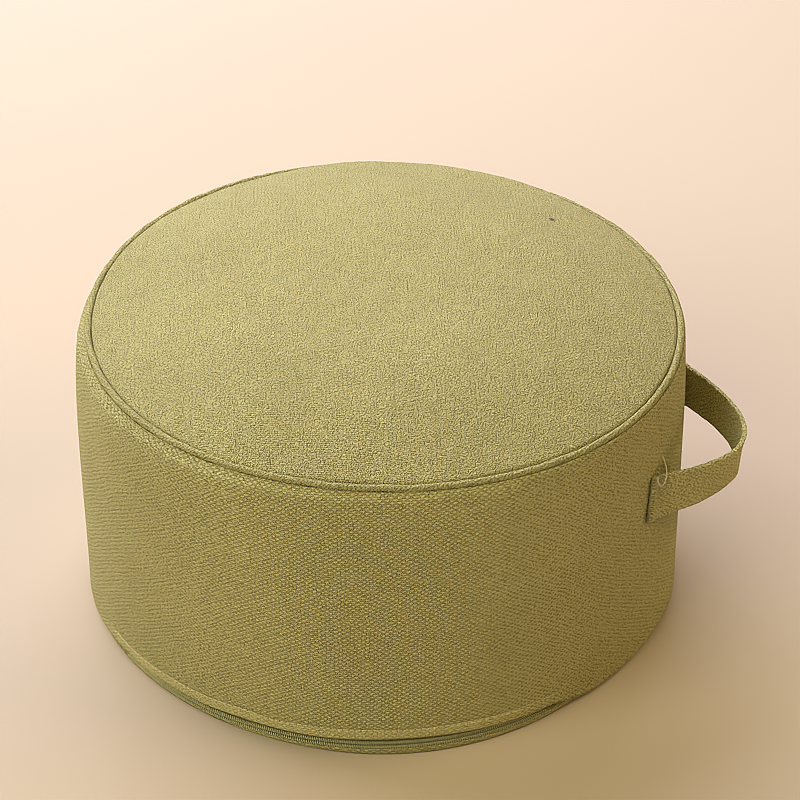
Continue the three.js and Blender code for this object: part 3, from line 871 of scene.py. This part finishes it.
def strap():
    steps = 200
    s = np.concatenate([[0.0, 0.0015, 0.004, 0.008], np.linspace(0.013, 0.987, steps - 8), [0.992, 0.996, 0.9985, 1.0]])
    # a strip folded in from both edges and doubled: rounded folds, a slightly sunk middle
    outline = []
    for a in np.linspace(-math.pi / 2, math.pi / 2, 9):
        outline.append((0.955 + 0.045 * math.cos(a), 0.98 * math.sin(a)))
    for x in (0.86, 0.72, 0.5, 0.25, 0.0, -0.25, -0.5, -0.72, -0.86):
        outline.append((x, 1.0 - 0.10 * (1 - abs(x)) ** 0.5))
    for a in np.linspace(math.pi / 2, 3 * math.pi / 2, 9):
        outline.append((-0.955 + 0.045 * math.cos(a), 0.98 * math.sin(a)))
    for x in (-0.86, -0.72, -0.5, -0.25, 0.0, 0.25, 0.5, 0.72, 0.86):
        outline.append((x, -1.0 + 0.10 * (1 - abs(x)) ** 0.5))
    outline = np.array(outline)
    count = len(outline)
    S = np.repeat(s[:, None], count, 1)
    # both folded ends round over
    end = np.minimum(S, 1 - S) / 0.008
    pinch = np.sqrt(np.clip(1 - (1 - np.clip(end, 0, 1)) ** 2, 0.12, 1))
    A = np.broadcast_to(outline[:, 0], S.shape).copy()
    D = np.broadcast_to(outline[:, 1], S.shape).copy() * pinch - (1 - pinch) * 0.85
    wave = 0.018 * np.cos(S * 61 + 1.0) + 0.012 * np.cos(S * 143 + 0.4)
    A = A * (1 + wave * np.abs(A) ** 3 * 0.6)
    P = strap_surface(S, A, D)
    dent = 0.28 * plane_noise(31, S * 218, A * 16.5, 14, 50)
    _, _, side, face = strap_frame(S)
    ahead = np.cross(side, face)
    P = P - ahead * ((END_SLANT * (0.5 - A / 2) - END_BACK) * smooth((0.09 - S) / 0.09))[..., None]
    P = P + face * (dent * np.clip(D, 0, 1) * smooth(np.minimum(S, 1 - S) / 0.08))[..., None]
    points = P.reshape(-1, 3)
    along = s * 232 / WARP
    girth = np.concatenate([[0], np.cumsum(np.hypot(np.diff(outline[:, 0]) * 16.5, np.diff(outline[:, 1]) * 1.5))])
    girth = np.append(girth, girth[-1] + 1.0) / WEFT
    faces, uvs = [], []
    for i in range(len(s) - 1):
        for k in range(count):
            m = (k + 1) % count
            faces.append((i * count + k, i * count + m, (i + 1) * count + m, (i + 1) * count + k))
            uvs += [(along[i], girth[k]), (along[i], girth[k + 1]), (along[i + 1], girth[k + 1]), (along[i + 1], girth[k])]
    # the ends: each closed over by one face
    for i, flip in ((0, True), (len(s) - 1, False)):
        ring = [i * count + k for k in range(count)]
        ax = outline[:, 0] * 16.5 / WEFT
        if flip:
            faces.append(tuple(reversed(ring)))
            uvs += [(along[i] - outline[k, 1] * 0.6, ax[k]) for k in reversed(range(count))]
        else:
            faces.append(tuple(ring))
            uvs += [(along[i] + outline[k, 1] * 0.6, ax[k]) for k in range(count)]
    return make_object("strap_band", points, faces, uvs, None, [cloth_strap])


def strap_stitching():
    """Bar stitches across both ends, a loose tail of thread, and the fibres frayed out of the folds."""
    rng = np.random.default_rng(33)
    parts, frayed = [], []
    for s0 in (0.046, 0.970):
        across = np.linspace(-0.86, 0.86, 10)
        s = np.full_like(across, s0)
        centres = strap_surface(s, across, np.full_like(across, 0.99))
        _, _, side, face = strap_frame(s)
        parts += stitch_row(centres, side, face, 2.5, 0.26, rng, rise=0.05)
    tail = np.array(LOOSE_THREAD)
    t = np.linspace(0, len(tail) - 1, 64)
    knots = np.arange(len(tail))
    fine = np.stack([np.interp(t, knots, tail[:, k]) for k in range(3)], -1)
    for _ in range(6):
        fine[1:-1] = (fine[:-2] + 2 * fine[1:-1] + fine[2:]) / 4
    frayed.append(tube(fine, 6, np.linspace(0.32, 0.44, 64), up=(1.0, -0.4, 0.2)))
    for s0, s1, edge, count, tall in ((0.018, 0.08, 1, 60, 2.8), (0.07, 0.55, 1, 150, 1.6), (0.018, 0.10, -1, 34, 2.2),
                                      (0.10, 0.55, -1, 70, 1.3), (0.55, 1.0, 1, 60, 1.3), (0.55, 1.0, -1, 30, 1.0)):
        for _ in range(count):
            s = np.array(rng.uniform(s0, s1))
            root = strap_surface(s, np.array(edge * rng.uniform(0.80, 0.99)), np.array(rng.uniform(0.2, 0.98)))
            _, _, side, face = strap_frame(s)
            ahead = np.cross(side, face)
            way = side * edge * rng.uniform(0.2, 1.0) + face * rng.uniform(0.1, 0.7) + ahead * rng.uniform(-0.8, 0.8)
            way /= np.linalg.norm(way)
            curl = np.cross(way, face) * rng.uniform(-0.9, 0.9) - side * edge * rng.uniform(0, 0.5)
            l = tall * rng.uniform(0.4, 1.0)
            k = np.linspace(0, 1, 6)[:, None]
            path = root + l * (way * k + curl * k * k * 0.6)
            frayed.append(tube(path, 4, np.linspace(0.22, 0.10, 6), up=face))
    points, faces, uvs = joined(parts + frayed)
    bars = sum(len(f) for _, f, _ in parts)
    slots = [0] * bars + [1] * (len(faces) - bars)
    return make_object("strap_stitching", points, faces, uvs, slots, [thread_pale, thread_frayed_painted_light])


# ------------------------------------------------------------------ build
cloth_crown = woven("cover_cloth_crown", patches_and_painted_shade=(((0.1140, 0.0870, 0.220), (0.0022, 0.0024), 0.85),), seed=0.0,
                    proud=-0.02, slant=0.12, grain=2.9, rise_u=0.60, rise_v=0.60, fine=(3.4, 1.35),
                    depth=0.76, dark=0.72, shade=1.02, sheen=0.26)
# painted shadow: three dark patches on the wall just above the strap's near end, where the gap behind the strap lies in
# shade
cloth_wall = woven("cover_cloth_wall", seed=3.0,
                   patches_and_painted_shade=tuple((at, (0.0054, 0.0054, 0.0054), 0.34) for at in
                               ((0.1790, -0.0862, 0.1425), (0.1815, -0.0812, 0.1385), (0.1838, -0.0757, 0.1340))),
                   turning=True, hem=True)
cloth_base = woven("cover_cloth_base", seed=9.0, shade=0.92)
# painted shade: the cord is the cover cloth darkened to shade 0.79, to damp the highlight along its top
cloth_cord_painted_shade = woven("piping_cloth", seed=5.0, shade=0.79, depth=0.45, pit_shade_strength=0.8, grain=2.6, fine=(2.4, 1.5), sheen=0.03)
cloth_strap = woven("strap_cloth", seed=7.0, shade=1.30, pit_shade_strength=0.95, grain=4.2, slant=0.1, rise_v=0.6, fine=(1.9, 1.8),
                    patches_and_painted_shade=(((0.1728, -0.0985, 0.1448), (0.0050, 0.0050, 0.0040), 0.5, (0.58, 0.54, 0.30)),
                           ((0.1702, -0.1030, 0.1168), (0.0042, 0.0042, 0.0034), 0.45, (0.58, 0.54, 0.30))))
tape_cloth = taped("zip_tape_cloth")
nylon_coil = nylon("zip_coil_nylon")
thread_pale = spun("topstitch_thread", (0.760, 0.690, 0.420), (0.560, 0.500, 0.260))
# a pale thread, painted lighter still: the loose tail and frayed fibres hang in the strap's shade, and this colour
# stands in for light they don't get
thread_frayed_painted_light = spun("frayed_thread_painted_light", (0.930, 0.890, 0.640), (0.760, 0.710, 0.450))

cover = cushion()
cord_piece = piping()
tape_top = zip_tape("zip_tape_top", lambda a: coil_height(a) + 0.175, lambda a: lip_height(a) - 1.1, TAPE_LEAN)
tape_bottom = zip_tape("zip_tape_bottom", lambda a: coil_height(a) - 3.1, lambda a: coil_height(a) - 0.175)
coil_top = zip_coil("zip_coil_top", 1)
coil_bottom = zip_coil("zip_coil_bottom", -1)
topstitch = hem_topstitch()
band = strap()
band_thread = strap_stitching()

for piece, node, slot in (
    (cover, "cushion_body", "cover_cloth"), (cord_piece, "crown_piping", "piping_cloth"),
    (tape_top, "zip_tape_upper", "zip_tape"), (tape_bottom, "zip_tape_lower", "zip_tape"),
    (coil_top, "zip_coil_upper", "zip_coil"), (coil_bottom, "zip_coil_lower", "zip_coil"),
    (topstitch, None, None),
    (band, "handle_strap", "strap_cloth"), (band_thread, None, None),
):
    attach(piece, "root")
    if node:
        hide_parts(node)

# ------------------------------------------------------------------ floor, light, camera
ground = Graph("floor_paint")
grain = ground.noise(ground.place(), 3.0, 3.0, 0.5, "3D")
floor_paint = ground.finish(ground.blend(grain, (0.53, 0.44, 0.35), (0.56, 0.465, 0.37)), None, 0.9, Specular_IOR_Level=0.15)
bpy.ops.mesh.primitive_plane_add(size=14, location=(0, 2.0, 0))
floor = bpy.context.object
floor.name = "studio_floor"
floor.data.materials.append(floor_paint)


def soft_light(name, towards, distance, size, power, color):
    """A square soft light at a direction from the pouf's middle."""
    data = bpy.data.lights.new(name, "AREA")
    data.shape, data.size = "SQUARE", size
    data.energy, data.color = power, color
    obj = bpy.data.objects.new(name, data)
    bpy.context.scene.collection.objects.link(obj)
    aim = Matrix.Translation((0, 0, 0.12)).to_translation()
    way = np.array(towards, float)
    way /= np.linalg.norm(way)
    obj.location = aim + Matrix.Translation(tuple(way * distance)).to_translation()
    obj.rotation_mode = "QUATERNION"
    obj.rotation_quaternion = (aim - obj.location).to_track_quat("-Z", "Y")
    return obj


def heading(azimuth, height):
    a, e = math.radians(azimuth), math.radians(height)
    return math.cos(a) * math.cos(e), math.sin(a) * math.cos(e), math.sin(e)


LIGHTS = [
    ("back", heading(90, 35), 2.6, 1.9, 57.0, (0.87, 0.87, 1.0)),
    ("key_low", heading(140, 28), 2.6, 1.9, 46.5, (0.94, 0.88, 0.95)),
    ("key_high", heading(130, 50), 2.6, 1.9, 36.0, (0.87, 0.87, 1.0)),
    ("front_left", heading(225, 40), 2.6, 1.9, 49.5, (1.0, 0.92, 0.61)),
    ("right", heading(0, 35), 2.6, 1.9, 34.1, (1.0, 0.765, 0.372)),
]
for args in LIGHTS:
    soft_light(*args)

world = bpy.data.worlds.new("studio")
bpy.context.scene.world = world
world.use_nodes = True
sky = world.node_tree.nodes["Background"]
sky.inputs["Color"].default_value = (1.0, 0.90, 0.74, 1.0)
sky.inputs["Strength"].default_value = 0.02

camera_data = bpy.data.cameras.new("camera")
camera_data.sensor_width = 36.0
camera_data.lens = 144.0
camera_data.clip_start, camera_data.clip_end = 0.05, 30.0
camera = bpy.data.objects.new("camera", camera_data)
bpy.context.scene.collection.objects.link(camera)
right, up_, ahead_ = (0.99998102, -0.0060398, 0.00121884), (0.00251263, 0.58034367, 0.8143678), (0.00562596, 0.81434927, -0.58034783)
camera.matrix_world = Matrix((
    (right[0], up_[0], -ahead_[0], 0.0),
    (right[1], up_[1], -ahead_[1], -1.723112),
    (right[2], up_[2], -ahead_[2], 1.363688),
    (0.0, 0.0, 0.0, 1.0),
))
bpy.context.scene.camera = camera
bpy.context.scene.view_settings.view_transform = "Standard"

# ------------------------------------------------------------------ finish of the picture
scene = bpy.context.scene
scene.use_nodes = True
tree = scene.node_tree
tree.nodes.clear()
layers = tree.nodes.new("CompositorNodeRLayers")


def chained(kind, source, **settings):
    """A compositor node on the image that comes from source."""
    n = tree.nodes.new("CompositorNode" + kind)
    for k, val in settings.items():
        setattr(n, k, val)
    tree.links.new(source, n.inputs["Image"])
    return n


coded = chained("Gamma", layers.outputs["Image"])
coded.inputs["Gamma"].default_value = 1 / 2.2
crisp = chained("Filter", coded.outputs[0], filter_type="SHARPEN_DIAMOND")
crisp.inputs["Fac"].default_value = SHARPEN
plain = chained("Gamma", crisp.outputs[0])
plain.inputs["Gamma"].default_value = 2.2
final = tree.nodes.new("CompositorNodeComposite")
tree.links.new(plain.outputs[0], final.inputs["Image"])
